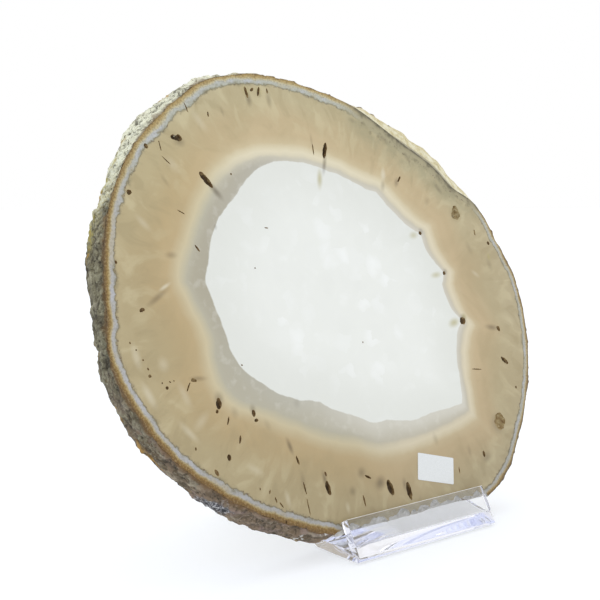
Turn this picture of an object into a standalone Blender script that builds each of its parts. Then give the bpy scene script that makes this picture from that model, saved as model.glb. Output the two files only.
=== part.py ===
"""Agate slice leaning in a small clear stand, with a paper sticker on its polished face.

Metres, +Z up, front towards -Y. The origin is the middle of the stand's ledge, on the surface
that the stand rests on. The slice is modelled upright in its own frame (X to the right and Z up
the polished face, Y into the stone, from the middle of the sawn foot) and then leaned back.
"""

import math

import bmesh
import bpy
import numpy as np
from mathutils import Matrix, Vector, noise

MM = 0.001
GAP = 0.3 * MM

# The stand: one clear sheet with a front lip, a ledge, a back rest and a rear leg.
STAND_WIDTH = 60 * MM
SHEET = 3 * MM
LIP_LENGTH = 13.8 * MM
LIP_LEAN = math.radians(29)
LEDGE_MIDDLE = 11 * MM
REST_LENGTH = 70 * MM
LEG_LEAN = math.radians(24)
SHEET_EDGE_ROUNDING = 0.25 * MM

# The slice.
SLICE_LEAN = math.radians(17)
THICKNESS = 12 * MM
FOOT_TO_CENTRE = 74 * MM
CENTRE_TO_STAND = 10 * MM
FOOT_CORNER_BREAK = 0.6 * MM

# Distance from the centre to the polished face's edge, every 10 degrees anticlockwise from the
# right, in millimetres. The sawn foot cuts this outline off at FOOT_TO_CENTRE.
FACE_RADII = (
    83.2, 79.0, 76.6, 73.3, 71.5, 69.0, 67.5, 67.0, 67.5, 69.5, 73.0, 76.5,
    79.5, 80.5, 82.0, 84.0, 85.0, 85.5, 86.0, 88.5, 87.0, 85.0, 82.0, 79.5,
    77.5, 77.0, 78.0, 79.5, 81.0, 83.5, 86.5, 88.5, 87.5, 87.0, 86.3, 85.0,
)
# How much farther out the crust's back edge lies, every 10 degrees, in millimetres.
BACK_SPREAD = (
    1.5, 1.5, 1.5, 1.5, 1.5, 1.5, 1.5, 1.4, 1.2, 1.1, 1.0, 1.4,
    2.4, 2.6, 2.0, -0.4, -1.8, -0.6, -2.0, -2.7, -1.0, -0.3, 0.2, 1.2,
    1.5, 2.0, 2.5, 2.0, 1.5, 1.5, 1.0, 1.5, 1.5, 1.5, 1.5, 1.5,
)
# A flake has left a slanting strip along the upper right of the face: where it starts and ends,
# how wide it is and how deep it goes at the outside.
FLAKE_SPAN = (math.radians(22), math.radians(80))
FLAKE_FADES = (math.radians(10), math.radians(30))
FLAKE_WIDTH = 4.2 * MM
FLAKE_DEPTH = 1.6 * MM
# Where the sawn foot starts and ends, as angles about the centre.
FOOT_SPAN = (math.radians(253.2), math.radians(302))
# Chips along the foot's front edge: middle from the stand's middle, half length, height.
FOOT_CHIPS = (
    (-22 * MM, 10 * MM, 0.6 * MM),
    (14 * MM, 12 * MM, 1.4 * MM),
)
ANGLE_STEPS = 288
# The crust's rings, as shares of the thickness from the face to the back.
RING_DEPTHS = (0.0, 0.04, 0.17, 0.32, 0.47, 0.62, 0.77, 0.91, 1.0)
CRUST_BULGE = 0.9 * MM

# Pits in the face: across and up from the centre, width, height, depth, then the turn in degrees.
PITS = (
    (58.3, 25.5, 3.4, 4.6, 1.8, -15),
    (58.5, -50.0, 5.0, 5.4, 1.4, -20),
    (-54.0, 49.5, 3.2, 2.0, 1.4, -10),
    (-46.3, 36.5, 1.8, 5.8, 1.6, 38),
    (2.3, 47.3, 1.5, 5.6, 1.6, -22),
    (-55.4, -29.8, 1.6, 3.2, 1.3, -6),
    (2.4, -63.6, 2.2, 4.8, 1.8, 14),
    (10.0, -66.0, 1.8, 5.4, 1.6, 4),
    (-22.1, -59.4, 1.6, 4.0, 1.5, 8),
    (-55.0, -45.2, 1.2, 1.8, 1.0, 0),
    (50.4, -13.5, 2.4, 2.4, 1.3, 30),
    (67.7, -29.2, 1.4, 3.8, 1.3, 50),
)

# The sticker.
STICKER_WIDTH = 15.9 * MM
STICKER_HEIGHT = 8.7 * MM
STICKER_THICKNESS = 0.15 * MM
STICKER_TURN = math.radians(-15.2)
STICKER_PLACE = (23.4 * MM, -61.0 * MM)


def clear_scene():
    for thing in list(bpy.data.objects):
        bpy.data.objects.remove(thing, do_unlink=True)


def material(name, colour, roughness, transmission=0.0, ior=1.5):
    new = bpy.data.materials.new(name)
    new.use_nodes = True
    shader = new.node_tree.nodes["Principled BSDF"]
    shader.inputs["Base Color"].default_value = (*colour, 1.0)
    shader.inputs["Roughness"].default_value = roughness
    shader.inputs["Metallic"].default_value = 0.0
    shader.inputs["Transmission Weight"].default_value = transmission
    shader.inputs["IOR"].default_value = ior
    return new


def add_object(name, mesh, surface=None):
    """Turns a bmesh into an object of that name, with its normals outward."""
    bmesh.ops.recalc_face_normals(mesh, faces=mesh.faces)
    data = bpy.data.meshes.new(name)
    mesh.to_mesh(data)
    mesh.free()
    if surface:
        data.materials.append(surface)
    thing = bpy.data.objects.new(name, data)
    bpy.context.collection.objects.link(thing)
    return thing


def around(values, angle):
    """Smooth closed curve through values spread evenly round the circle, at an angle."""
    count = len(values)
    place = (angle / math.tau * count) % count
    first = int(place)
    t = place - first
    a, b, c, d = (values[(first + k) % count] for k in (-1, 0, 1, 2))
    return b + 0.5 * t * (c - a + t * (2 * a - 5 * b + 4 * c - d + t * (3 * (b - c) + d - a)))


def smooth_step(value, start, end):
    t = min(max((value - start) / (end - start), 0.0), 1.0)
    return t * t * (3 - 2 * t)


# The slice's outline, crust and pits.

def foot_radius(angle):
    """Distance from the centre to the sawn foot, or a large one where it doesn't reach."""
    start, end = FOOT_SPAN
    return FOOT_TO_CENTRE / -math.sin(angle) if start < angle < end else 1.0


def flake(angle):
    """1 along the flaked strip, fading to 0 at its ends, more slowly at the top."""
    start, end = FLAKE_SPAN
    rise = smooth_step(angle, start, start + FLAKE_FADES[0])
    return rise * (1 - smooth_step(angle, end - FLAKE_FADES[1], end))


def foot_chip(angle):
    """How much of the foot's front edge has chipped away at this angle."""
    start, end = FOOT_SPAN
    if not start < angle < end:
        return 0.0
    along = -FOOT_TO_CENTRE / math.tan(angle) - CENTRE_TO_STAND
    height = 0.0
    for middle, half_length, most in FOOT_CHIPS:
        share = 1 - min(abs(along - middle) / half_length, 1.0)
        height = max(height, most * min(1.0, 2.5 * share))
    return height


def crust_lumps(place):
    """Outward height of the rough crust: broad lumps, small grains and stepped ledges."""
    broad = noise.noise(place / (11 * MM))
    small = noise.noise(place / (4.5 * MM) + Vector((7, 3, 1)))
    fine = noise.noise(place / (2.2 * MM) + Vector((2, 9, 4)))
    ledge = math.floor(3 * noise.noise(place / (16 * MM) + Vector((5, 5, 5)))) / 3
    return (1.0 * broad + 0.8 * small + 0.35 * fine + 0.7 * ledge) * MM


def crust_point(angle, depth):
    """A point of the slice's side at an angle about its centre and a share of its thickness."""
    chip = foot_chip(angle)
    if depth == RING_DEPTHS[1]:
        depth += (FLAKE_DEPTH / THICKNESS - depth) * flake(angle) + 1.3 * chip / THICKNESS
    spread = around(BACK_SPREAD, angle) * MM * depth + CRUST_BULGE * math.sin(math.pi * depth)
    radius = around(FACE_RADII, angle) * MM + spread
    direction = Vector((math.cos(angle), 0, math.sin(angle)))
    place = direction * radius + Vector((0, depth * THICKNESS, 0))
    roughness = smooth_step(depth, 0.0, 0.16) * (1 - 0.4 * smooth_step(depth, 0.85, 1.0))
    wear = 0.25 * MM * (1 + noise.noise(direction * 18)) * (1 - roughness)
    radius += crust_lumps(place) * roughness - wear
    if depth == 0:
        radius -= FLAKE_WIDTH * flake(angle)
    foot = foot_radius(angle)
    if radius > foot:
        cut = {0.0: max(chip, 0.5 * FOOT_CORNER_BREAK), 1.0: FOOT_CORNER_BREAK}.get(depth, 0.0)
        radius = foot - cut / -math.sin(angle)
    return direction * radius + Vector((0, depth * THICKNESS, 0))


def slice_mesh():
    mesh = bmesh.new()
    angles = [math.tau * step / ANGLE_STEPS for step in range(ANGLE_STEPS)]
    lift = Vector((0, 0, FOOT_TO_CENTRE))
    rings = [[mesh.verts.new(crust_point(a, depth) + lift) for a in angles] for depth in RING_DEPTHS]
    for front, back in zip(rings, rings[1:]):
        for i in range(ANGLE_STEPS):
            j = (i + 1) % ANGLE_STEPS
            mesh.faces.new((front[i], front[j], back[j], back[i]))
    mesh.faces.new(rings[0])
    mesh.faces.new(rings[-1])
    return mesh


def pit_cutters():
    """Stretched balls on the face, one for each pit; the half inside the stone cuts."""
    mesh = bmesh.new()
    for x, z, width, height, depth, turn in PITS:
        size = Matrix.Diagonal((width / 2 * MM, depth * MM, height / 2 * MM, 1))
        place = Matrix.Translation((x * MM, 0, z * MM + FOOT_TO_CENTRE))
        matrix = place @ Matrix.Rotation(math.radians(-turn), 4, "Y") @ size
        bmesh.ops.create_icosphere(mesh, subdivisions=2, radius=1, matrix=matrix)
    return mesh


def build_slice(matrix, surface):
    stone = add_object("agate_slice", slice_mesh(), surface)
    stone.matrix_world = matrix
    cutter = add_object("pit_cutters", pit_cutters())
    cutter.matrix_world = matrix
    cutter.hide_render = True
    cutter.display_type = "WIRE"
    cut = stone.modifiers.new("pits", "BOOLEAN")
    cut.operation = "DIFFERENCE"
    cut.solver = "EXACT"
    cut.object = cutter
    return stone


# The stand.

def rounded(corners):
    """Outline through (y, z, radius) corners, with an arc of that radius at each."""
    points = []
    for i, (y, z, radius) in enumerate(corners):
        here = np.array((y, z))
        before = np.array(corners[i - 1][:2]) - here
        after = np.array(corners[(i + 1) % len(corners)][:2]) - here
        before = before / np.linalg.norm(before)
        after = after / np.linalg.norm(after)
        half = math.acos(float(np.clip(before @ after, -1, 1))) / 2
        if radius == 0:
            points.append(here)
            continue
        middle = here + (before + after) / np.linalg.norm(before + after) * radius / math.sin(half)
        start = here + before * radius / math.tan(half) - middle
        end = here + after * radius / math.tan(half) - middle
        turn = math.pi - 2 * half
        steps = max(2, round(turn / math.radians(18)))
        for k in range(steps + 1):
            weight = k / steps
            ray = start * math.sin((1 - weight) * turn) + end * math.sin(weight * turn)
            points.append(middle + ray / math.sin(turn))
    return points


def crossing(point, direction, other_point, other_direction):
    """Where two lines in the (y, z) plane cross."""
    table = np.array((direction, -np.array(other_direction))).T
    share = np.linalg.solve(table, np.array(other_point) - np.array(point))[0]
    return np.array(point) + share * np.array(direction)


def rest_front():
    """The back rest's front plane, as a (y, z) point on the ledge's top and a direction."""
    y, z = face_foot()
    reach = THICKNESS + GAP
    back = np.array((y + reach * math.cos(SLICE_LEAN), z - reach * math.sin(SLICE_LEAN)))
    up = np.array((math.sin(SLICE_LEAN), math.cos(SLICE_LEAN)))
    return crossing(back, up, (0, SHEET), (1, 0)), up


def stand_profile():
    """The sheet's outline in (y, z), with y measured from the lip's front bottom edge."""
    lip_up = np.array((math.sin(LIP_LEAN), math.cos(LIP_LEAN)))
    lip_in = np.array((math.cos(LIP_LEAN), -math.sin(LIP_LEAN)))
    lip_top = lip_up * LIP_LENGTH
    lip_top_inner = lip_top + lip_in * SHEET
    lip_foot_inner = crossing(lip_top_inner, lip_up, (0, SHEET), (1, 0))
    rest_foot, rest_up = rest_front()
    rest_top = rest_foot + rest_up * REST_LENGTH
    rest_in = np.array((rest_up[1], -rest_up[0]))
    leg_down = np.array((math.sin(LEG_LEAN), -math.cos(LEG_LEAN)))
    leg_in = np.array((leg_down[1], -leg_down[0]))
    leg_foot = crossing(rest_top, leg_down, (0, 0), (1, 0))
    leg_foot_inner = crossing(rest_top + leg_in * SHEET, leg_down, (0, 0), (1, 0))
    rest_back = rest_foot + rest_in * SHEET
    fold_inner = crossing(rest_back, rest_up, rest_top + leg_in * SHEET, leg_down)
    ledge_back = crossing(rest_back, rest_up, (0, 0), (1, 0))
    return rounded((
        (*lip_top, 0.5 * MM),
        (0, 0, 1.2 * MM),
        (*ledge_back, 3.5 * MM),
        (*fold_inner, 2.0 * MM),
        (*leg_foot_inner, 0),
        (*leg_foot, 0),
        (*rest_top, 5.0 * MM),
        (*rest_foot, 0.8 * MM),
        (*lip_foot_inner, 0.6 * MM),
        (*lip_top_inner, 0.5 * MM),
    ))


def build_stand(surface):
    mesh = bmesh.new()
    half = STAND_WIDTH / 2
    left = [mesh.verts.new((-half, y, z)) for y, z in stand_profile()]
    side = mesh.faces.new(left)
    grown = bmesh.ops.extrude_face_region(mesh, geom=[side], use_keep_orig=True)["geom"]
    right = [v for v in grown if isinstance(v, bmesh.types.BMVert)]
    bmesh.ops.translate(mesh, verts=right, vec=(STAND_WIDTH, 0, 0))
    stand = add_object("display_stand", mesh, surface)
    stand.location = (0, -LEDGE_MIDDLE, 0)
    edges = stand.modifiers.new("polished edges", "BEVEL")
    edges.width = SHEET_EDGE_ROUNDING
    edges.segments = 1
    edges.limit_method = "ANGLE"
    edges.angle_limit = math.radians(60)
    return stand


# How the slice leans: its back lower edge on the ledge, its face just clear of the lip's top.

def face_foot():
    """The polished face's lower edge in (y, z), with y from the lip's front bottom edge."""
    z = SHEET + GAP + THICKNESS * math.sin(SLICE_LEAN)
    lip_y = LIP_LENGTH * math.sin(LIP_LEAN) + SHEET * math.cos(LIP_LEAN)
    lip_z = LIP_LENGTH * math.cos(LIP_LEAN) - SHEET * math.sin(LIP_LEAN)
    y = lip_y + GAP / math.cos(SLICE_LEAN) - (lip_z - z) * math.tan(SLICE_LEAN)
    return y, z


def slice_matrix():
    y, z = face_foot()
    place = Matrix.Translation((-CENTRE_TO_STAND, y - LEDGE_MIDDLE, z))
    return place @ Matrix.Rotation(-SLICE_LEAN, 4, "X")


def build_sticker(matrix, surface):
    mesh = bmesh.new()
    bmesh.ops.create_cube(mesh, size=1)
    bmesh.ops.scale(mesh, verts=mesh.verts, vec=(STICKER_WIDTH, STICKER_THICKNESS, STICKER_HEIGHT))
    sticker = add_object("paper_sticker", mesh, surface)
    x, z = STICKER_PLACE
    lift = -(GAP + STICKER_THICKNESS / 2)
    place = Matrix.Translation((x, lift, z + FOOT_TO_CENTRE))
    sticker.matrix_world = matrix @ place @ Matrix.Rotation(-STICKER_TURN, 4, "Y")
    return sticker


clear_scene()
agate = material("agate", (0.46, 0.39, 0.28), 0.15)
clear_plastic = material("clear_plastic", (0.95, 0.96, 0.98), 0.03, transmission=1.0, ior=1.49)
paper = material("paper", (0.88, 0.87, 0.86), 0.8)
leaned = slice_matrix()
build_slice(leaned, agate)
build_stand(clear_plastic)
build_sticker(leaned, paper)
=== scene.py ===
"""Agate slice leaning in a small clear stand, with a blank paper sticker on its polished face."""
import math

import bpy
from mathutils import Matrix, Vector


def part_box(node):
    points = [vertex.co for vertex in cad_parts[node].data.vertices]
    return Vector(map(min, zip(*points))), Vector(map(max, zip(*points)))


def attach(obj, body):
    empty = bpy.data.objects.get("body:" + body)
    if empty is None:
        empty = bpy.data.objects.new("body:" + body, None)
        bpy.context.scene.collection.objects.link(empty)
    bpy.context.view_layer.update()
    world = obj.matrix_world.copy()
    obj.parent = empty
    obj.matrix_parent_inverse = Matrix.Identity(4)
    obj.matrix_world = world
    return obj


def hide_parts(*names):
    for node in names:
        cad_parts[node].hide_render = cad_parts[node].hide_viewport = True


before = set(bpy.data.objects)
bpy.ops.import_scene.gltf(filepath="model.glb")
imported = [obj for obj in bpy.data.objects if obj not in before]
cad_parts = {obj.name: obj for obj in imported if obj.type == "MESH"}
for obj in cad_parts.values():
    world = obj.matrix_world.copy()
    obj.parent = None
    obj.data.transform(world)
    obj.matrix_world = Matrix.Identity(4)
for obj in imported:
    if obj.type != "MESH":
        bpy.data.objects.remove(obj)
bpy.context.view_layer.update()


# The agate slice. One sawn and polished slice of a nodule: milky quartz in the middle, a grey and a
# cream ring, amber-tan chalcedony, then a blue-grey and a rust line under a rough, grainy crust.
# It leans back on its sawn foot. A flake is missing along the upper right edge of the face.

MM = 0.001
SLICE_LEAN = math.radians(17)
FACE_MIDDLE = Vector((-10.0, 19.1, 77.575)) * MM
THICKNESS = 12.0
# How far the sawn foot lies below the middle of the face, in mm.
FOOT_DROP = 74.0
# The flaked strip runs between these turns, in degrees anticlockwise from the right.
FLAKE_FROM, FLAKE_TO = 15, 82
# How near a sawn face a point has to be to count as on it, in mm.
SLACK = 0.03
# From the face's own place to the world: X to the right, Y into the stone, Z up the face.
face_place = Matrix.Translation(FACE_MIDDLE) @ Matrix.Rotation(-SLICE_LEAN, 4, "X")

# Distance from the middle to the face's edge, every 10 degrees anticlockwise from the right, in mm.
FACE_EDGE = (
    83.2, 79.0, 76.6, 73.3, 71.5, 69.0, 67.5, 67.0, 67.5, 69.5, 73.0, 76.5,
    79.5, 80.5, 82.0, 84.0, 85.0, 85.5, 86.0, 88.5, 87.0, 85.0, 82.0, 79.5,
    77.5, 77.0, 78.0, 79.5, 81.0, 83.5, 86.5, 88.5, 87.5, 87.0, 86.3, 85.0,
)
# The quartz's edge: degrees, mm, and True where two scallops meet in a point.
QUARTZ_EDGE = (
    (0, 44.0, False), (5, 46.3, True), (10, 43.6, False), (18, 41.6, False), (25.8, 42.6, True),
    (31, 39.6, False), (40, 38.3, False), (50, 38.4, False), (57, 39.6, True), (62, 38.5, False),
    (70, 38.5, False), (80, 39.5, False), (90, 41.0, False), (100, 43.5, False), (110, 46.0, False),
    (120, 48.0, False), (130, 48.5, False), (140, 48.5, False), (150, 50.5, False),
    (160, 51.5, False), (168, 52.0, False), (174, 53.2, True), (181, 51.3, False),
    (190, 50.0, False), (200, 50.5, False), (210, 48.0, False), (220, 45.0, False),
    (230, 42.0, False), (240, 39.0, False), (250, 39.5, False), (260, 40.0, False),
    (270, 42.5, False), (280, 43.5, False), (290, 47.0, False), (300, 50.0, False),
    (309, 54.5, False), (315, 59.0, True), (320, 56.0, False), (330, 50.8, False),
    (338, 49.6, False), (345, 51.9, True), (351, 46.0, False),
)
# Width of the grey ring round the quartz, every 10 degrees, in mm.
GREY_RING = (
    1.0, 1.0, 1.5, 2.0, 1.5, 1.5, 1.5, 1.0, 1.0, 1.0, 1.0, 1.0,
    2.5, 4.5, 6.0, 4.5, 4.5, 6.0, 5.0, 4.0, 6.0, 8.5, 6.0, 6.0,
    7.5, 6.5, 6.0, 6.0, 6.5, 5.0, 5.0, 4.5, 2.0, 1.5, 2.0, 1.5,
)
# Pits and cracks in the face: across and up from the middle, width, height, depth, turn in degrees.
PITS = (
    (58.3, 25.5, 3.4, 4.6, 1.8, -15), (58.5, -50.0, 5.0, 5.4, 1.4, -20),
    (-54.0, 49.5, 3.2, 2.0, 1.4, -10), (-46.3, 36.5, 1.8, 5.8, 1.6, 38),
    (2.3, 47.3, 1.5, 5.6, 1.6, -22), (-55.4, -29.8, 1.6, 3.2, 1.3, -6),
    (2.4, -63.6, 2.2, 4.8, 1.8, 14), (10.0, -66.0, 1.8, 5.4, 1.6, 4),
    (-22.1, -59.4, 1.6, 4.0, 1.5, 8), (-55.0, -45.2, 1.2, 1.8, 1.0, 0),
    (50.4, -13.5, 2.4, 2.4, 1.3, 30), (67.7, -29.2, 1.4, 3.8, 1.3, 50),
    (-25.5, 65.6, 1.0, 3.6, 0.8, 8), (-23.1, 66.6, 0.8, 1.6, 0.7, -50),
    (-20.6, 66.2, 0.8, 3.2, 0.8, -20), (-17.1, 66.6, 0.6, 1.6, 0.5, 0),
    (-72.9, 32.5, 1.5, 1.3, 0.9, 20), (-80.5, 12.5, 0.7, 0.9, 0.5, 0),
    (-53.5, 15.6, 0.6, 2.4, 0.5, 32), (-74.9, -1.3, 1.5, 0.9, 0.7, 30),
    (-2.6, 47.4, 0.4, 3.6, 0.5, -4), (33.6, 38.0, 0.7, 2.6, 0.7, -40),
    (66.2, 18.2, 0.6, 2.2, 0.5, 0), (72.3, 14.1, 1.2, 1.4, 0.8, 20),
    (38.4, 18.5, 1.3, 1.3, 0.8, 20), (46.1, 3.9, 1.4, 1.2, 0.8, 30),
    (67.9, -17.6, 1.4, 1.9, 0.8, 25), (52.4, -30.9, 0.35, 4.6, 0.4, 83),
    (70.7, -39.3, 0.8, 1.0, 0.5, 0), (47.3, -59.8, 1.1, 2.0, 0.9, 0),
    (-62.2, -22.3, 1.6, 0.9, 0.7, -14), (-64.3, -24.0, 0.4, 2.6, 0.5, -32),
    (-56.4, -31.9, 0.8, 1.1, 0.6, -30), (-44.1, -34.0, 1.2, 2.0, 1.0, 0),
    (-43.6, -36.1, 1.3, 0.9, 0.8, 10), (-53.2, -35.0, 0.5, 2.4, 0.6, -22),
    (-50.3, -40.8, 0.6, 2.2, 0.6, -18), (-31.5, -49.6, 0.7, 2.6, 0.9, 12),
    (-30.7, -58.0, 0.5, 3.6, 0.6, 6), (-30.6, -63.6, 0.35, 4.8, 0.4, 3),
    (-5.9, -58.8, 0.7, 2.4, 0.9, 60), (-9.1, -65.6, 0.55, 3.4, 0.6, 5),
    (34.0, -63.2, 0.4, 2.2, 0.3, -4), (-75.8, -19.7, 0.9, 0.8, 0.5, 0),
    (-71.1, -23.5, 0.9, 0.9, 0.6, 0), (-39.5, -66.3, 0.5, 1.2, 0.5, 10),
    (2.7, -17.0, 0.4, 0.6, 0.3, 0), (-45.2, -19.7, 0.4, 0.4, 0.3, 0),
    (-34.3, 9.0, 0.45, 0.45, 0.3, 0), (-64.9, 46.4, 1.2, 1.5, 0.8, 20),
    (-60.2, 46.6, 0.35, 3.0, 0.35, 5), (-48.9, 59.2, 0.35, 3.2, 0.35, 15),
    (-59.0, 42.3, 0.3, 3.4, 0.35, 45), (-41.4, 57.4, 0.45, 1.6, 0.4, 0),
    (-36.9, 38.5, 0.5, 0.5, 0.3, 0), (-56.9, 26.6, 0.3, 2.6, 0.35, 60),
    (-80.2, -10.1, 0.4, 0.6, 0.3, 0), (-78.7, -12.2, 0.4, 0.4, 0.3, 0),
    (-77.1, -15.1, 0.5, 0.5, 0.3, 0), (-76.0, -17.7, 0.4, 0.8, 0.3, 20),
    (-72.4, -22.0, 0.4, 0.5, 0.3, 0), (-69.9, -22.0, 0.35, 0.6, 0.3, 60),
    (-68.6, -21.8, 0.45, 0.35, 0.3, 0), (-27.4, 21.4, 0.35, 1.2, 0.3, 80),
    (-59.9, -48.7, 1.0, 2.0, 0.5, 25), (-41.7, -59.5, 0.45, 1.6, 0.4, 10),
    (-40.1, -61.2, 0.4, 2.0, 0.4, 30), (-43.3, -56.9, 0.35, 1.2, 0.3, -20),
    (-46.5, -55.5, 0.35, 0.8, 0.3, 0), (-65.3, -41.2, 0.5, 0.9, 0.4, -10),
    (-22.1, -55.2, 0.6, 1.4, 0.5, 10),
)
# Nicks along the foot's front edge: across from the middle, then width and height.
NICKS = (
    (-21.0, 4.6, 1.8), (-16.5, 6.0, 3.2), (-11.0, 4.4, 1.6), (-6.0, 7.0, 3.4), (0.5, 4.0, 2.2),
    (4.5, 5.5, 4.2), (9.5, 3.6, 2.2), (13.5, 5.8, 3.2), (18.5, 4.4, 4.4), (23.5, 6.4, 2.6),
    (28.5, 3.4, 3.4), (33.0, 6.4, 2.2), (38.0, 4.2, 3.0), (42.5, 4.8, 1.8),
)
# Soft marks below the polish: across, up, width, height, turn in degrees, strength. Dark marks,
# partly painted shadow of pits and cracks inside the stone and partly dark streaks; pale veils and
# yellow stains.
SHADOWS_AND_STREAKS = (
    (-53.4, 48.2, 4.6, 3.6, 0, 0.40), (-43.6, 33.0, 2.6, 7.4, 38, 0.60),
    (-62.7, 13.9, 4.5, 2.4, 0, 0.35), (-69.5, 1.8, 10.0, 2.2, 32, 0.45),
    (-60.8, -22.0, 6.5, 1.8, -5, 0.40), (-55.0, -28.4, 3.8, 4.8, 0, 0.45),
    (-25.0, 63.2, 2.8, 5.4, 0, 0.50), (-20.6, 65.6, 2.0, 3.6, 0, 0.35),
    (-17.0, 63.8, 2.4, 6.6, 0, 0.38), (1.0, 42.6, 2.0, 8.5, -20, 0.55),
    (-2.6, 50.5, 1.2, 6.0, -4, 0.25), (25.2, 35.4, 2.4, 4.6, -20, 0.32),
    (32.0, 36.8, 2.4, 4.4, -30, 0.45), (58.2, 25.6, 6.4, 7.2, -15, 0.30),
    (64.6, -16.9, 7.5, 2.6, -10, 0.50), (57.0, -50.6, 7.6, 8.0, -20, 0.40),
    (48.4, -61.0, 5.6, 4.0, 20, 0.35), (-33.4, -45.2, 2.0, 6.0, 14, 0.60),
    (-8.2, -57.2, 4.2, 3.6, 50, 0.40), (-1.4, -61.4, 5.4, 4.4, 40, 0.60),
    (8.6, -63.6, 2.2, 5.0, 0, 0.40), (-13.0, -62.0, 3.4, 3.4, 0, 0.38),
    (-22.8, -56.6, 2.0, 5.6, 6, 0.55), (-44.2, -32.8, 2.6, 3.4, 0, 0.40),
    (40.6, -57.8, 2.0, 4.6, 0, 0.22), (38.9, 19.2, 2.6, 2.6, 0, 0.35),
    (46.8, 4.4, 2.6, 2.6, 0, 0.35), (50.8, -12.6, 3.8, 3.4, 30, 0.45),
    (-46.0, 22.0, 1.6, 2.2, 0, 0.28), (-28.0, -33.0, 3.0, 3.6, 0, 0.16),
    (26.0, -51.6, 2.6, 4.8, 10, 0.20), (-50.5, -33.0, 3.0, 4.0, 0, 0.20),
    (-40.0, -38.0, 2.4, 4.4, 20, 0.16), (-30.9, -56.0, 2.2, 8.0, 4, 0.22),
    (61.5, 12.5, 3.0, 6.0, 20, 0.18), (70.5, 6.0, 3.0, 6.0, 15, 0.22),
    (45.0, 30.0, 2.6, 4.0, -40, 0.20), (30.0, 52.5, 6.0, 2.4, -36, 0.28),
    (40.0, 45.5, 6.0, 2.6, -45, 0.30), (52.0, 34.5, 5.4, 2.2, -52, 0.38),
    (17.0, 58.5, 4.0, 2.0, -20, 0.25), (-60.5, 36.0, 1.6, 5.0, 30, 0.22),
    (-36.0, 58.5, 1.4, 4.0, 12, 0.25), (65.0, -60.0, 3.0, 3.0, 0, 0.2),
)
VEILS = (
    (26.4, 39.4, 2.6, 5.6, -18, 0.60), (-66.5, 4.8, 5.0, 1.4, 28, 0.60),
    (-57.0, 41.0, 3.6, 6.5, 34, 0.20), (-70.0, 23.5, 2.6, 7.0, 40, 0.25),
    (-45.0, 55.0, 3.2, 9.0, 34, 0.22), (-62.0, -34.0, 8.0, 3.4, 40, 0.22),
    (-66.0, -26.0, 3.0, 9.0, 20, 0.25), (-71.0, -17.0, 4.0, 5.0, 0, 0.25),
    (-47.0, -50.0, 7.0, 2.8, -35, 0.22), (-77.0, -25.0, 3.0, 9.0, 22, 0.40),
    (-66.5, -36.5, 2.6, 9.0, 40, 0.32), (-79.0, -14.0, 3.0, 8.0, 8, 0.35),
    (62.0, 3.0, 5.0, 2.0, -35, 0.25), (-37.5, -60.0, 2.2, 6.0, 6, 0.28),
    (-16.0, -66.5, 2.0, 4.0, 0, 0.25),
)
STAINS = (
    (-2.2, 37.5, 2.6, 8.0, -14, 0.60), (35.0, 17.8, 5.0, 3.0, 10, 0.45),
    (42.0, 3.4, 6.0, 2.6, 6, 0.50), (46.0, -13.8, 6.5, 3.6, 14, 0.65),
    (51.5, -12.2, 3.0, 3.0, 0, 0.5), (-25.5, 66.0, 4.0, 4.6, 0, 0.30),
    (-20.4, 66.4, 3.0, 4.0, 0, 0.35), (58.3, 25.5, 5.6, 6.0, -15, 0.35),
    (71.0, 9.0, 2.0, 3.4, 0, 0.4),
)


def tone(red, green, blue):
    """Linear colour of a display tone from 0 to 255."""
    shares = (red / 255, green / 255, blue / 255)
    return (*(s / 12.92 if s <= 0.04045 else ((s + 0.055) / 1.055) ** 2.4 for s in shares), 1.0)


def new_material(name):
    """A material with only a Principled shader, and its node tree and shader."""
    material = bpy.data.materials.new(name)
    material.use_nodes = True
    return material, material.node_tree, material.node_tree.nodes["Principled BSDF"]


def add(tree, kind, inputs=(), **settings):
    """A node, with its settings, and its inputs as {socket: value or another node's output}."""
    node = tree.nodes.new("ShaderNode" + kind)
    for name, value in settings.items():
        setattr(node, name, value)
    for name, value in dict(inputs).items():
        if isinstance(value, bpy.types.NodeSocket):
            tree.links.new(value, node.inputs[name])
        else:
            node.inputs[name].default_value = value
    return node


def maths(tree, operation, *values):
    return add(tree, "Math", enumerate(values), operation=operation).outputs[0]


def fade(tree, value, start, end, low=0.0, high=1.0):
    """Eases from low to high as value goes from start to end."""
    inputs = {"Value": value, "From Min": start, "From Max": end, "To Min": low, "To Max": high}
    return add(tree, "MapRange", inputs, interpolation_type="SMOOTHSTEP").outputs["Result"]


def mix(tree, factor, first, second, blend="MIX"):
    node = add(tree, "Mix", data_type="RGBA", blend_type=blend)
    for number, value in ((0, factor), (6, first), (7, second)):
        if isinstance(value, bpy.types.NodeSocket):
            tree.links.new(value, node.inputs[number])
        else:
            node.inputs[number].default_value = value
    return node.outputs[2]


def ramp(tree, factor, stops):
    """A colour ramp through (position, colour) stops."""
    node = add(tree, "ValToRGB", {"Fac": factor})
    elements = node.color_ramp.elements
    elements[0].position, elements[0].color = stops[0]
    elements[1].position, elements[1].color = stops[-1]
    for position, colour in stops[1:-1]:
        elements.new(position).color = colour
    return node.outputs["Color"]


def noise(tree, place, scale, detail=2.0, roughness=0.5, distortion=0.0):
    inputs = {"Vector": place, "Scale": scale, "Detail": detail, "Roughness": roughness,
              "Distortion": distortion}
    return add(tree, "TexNoise", inputs).outputs["Fac"]


def raise_grain(tree, shader, height, strength, distance):
    """Relief too fine for the mesh, up to this distance in m."""
    grain = add(tree, "Bump", {"Strength": strength, "Distance": distance, "Height": height})
    tree.links.new(grain.outputs["Normal"], shader.inputs["Normal"])


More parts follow.
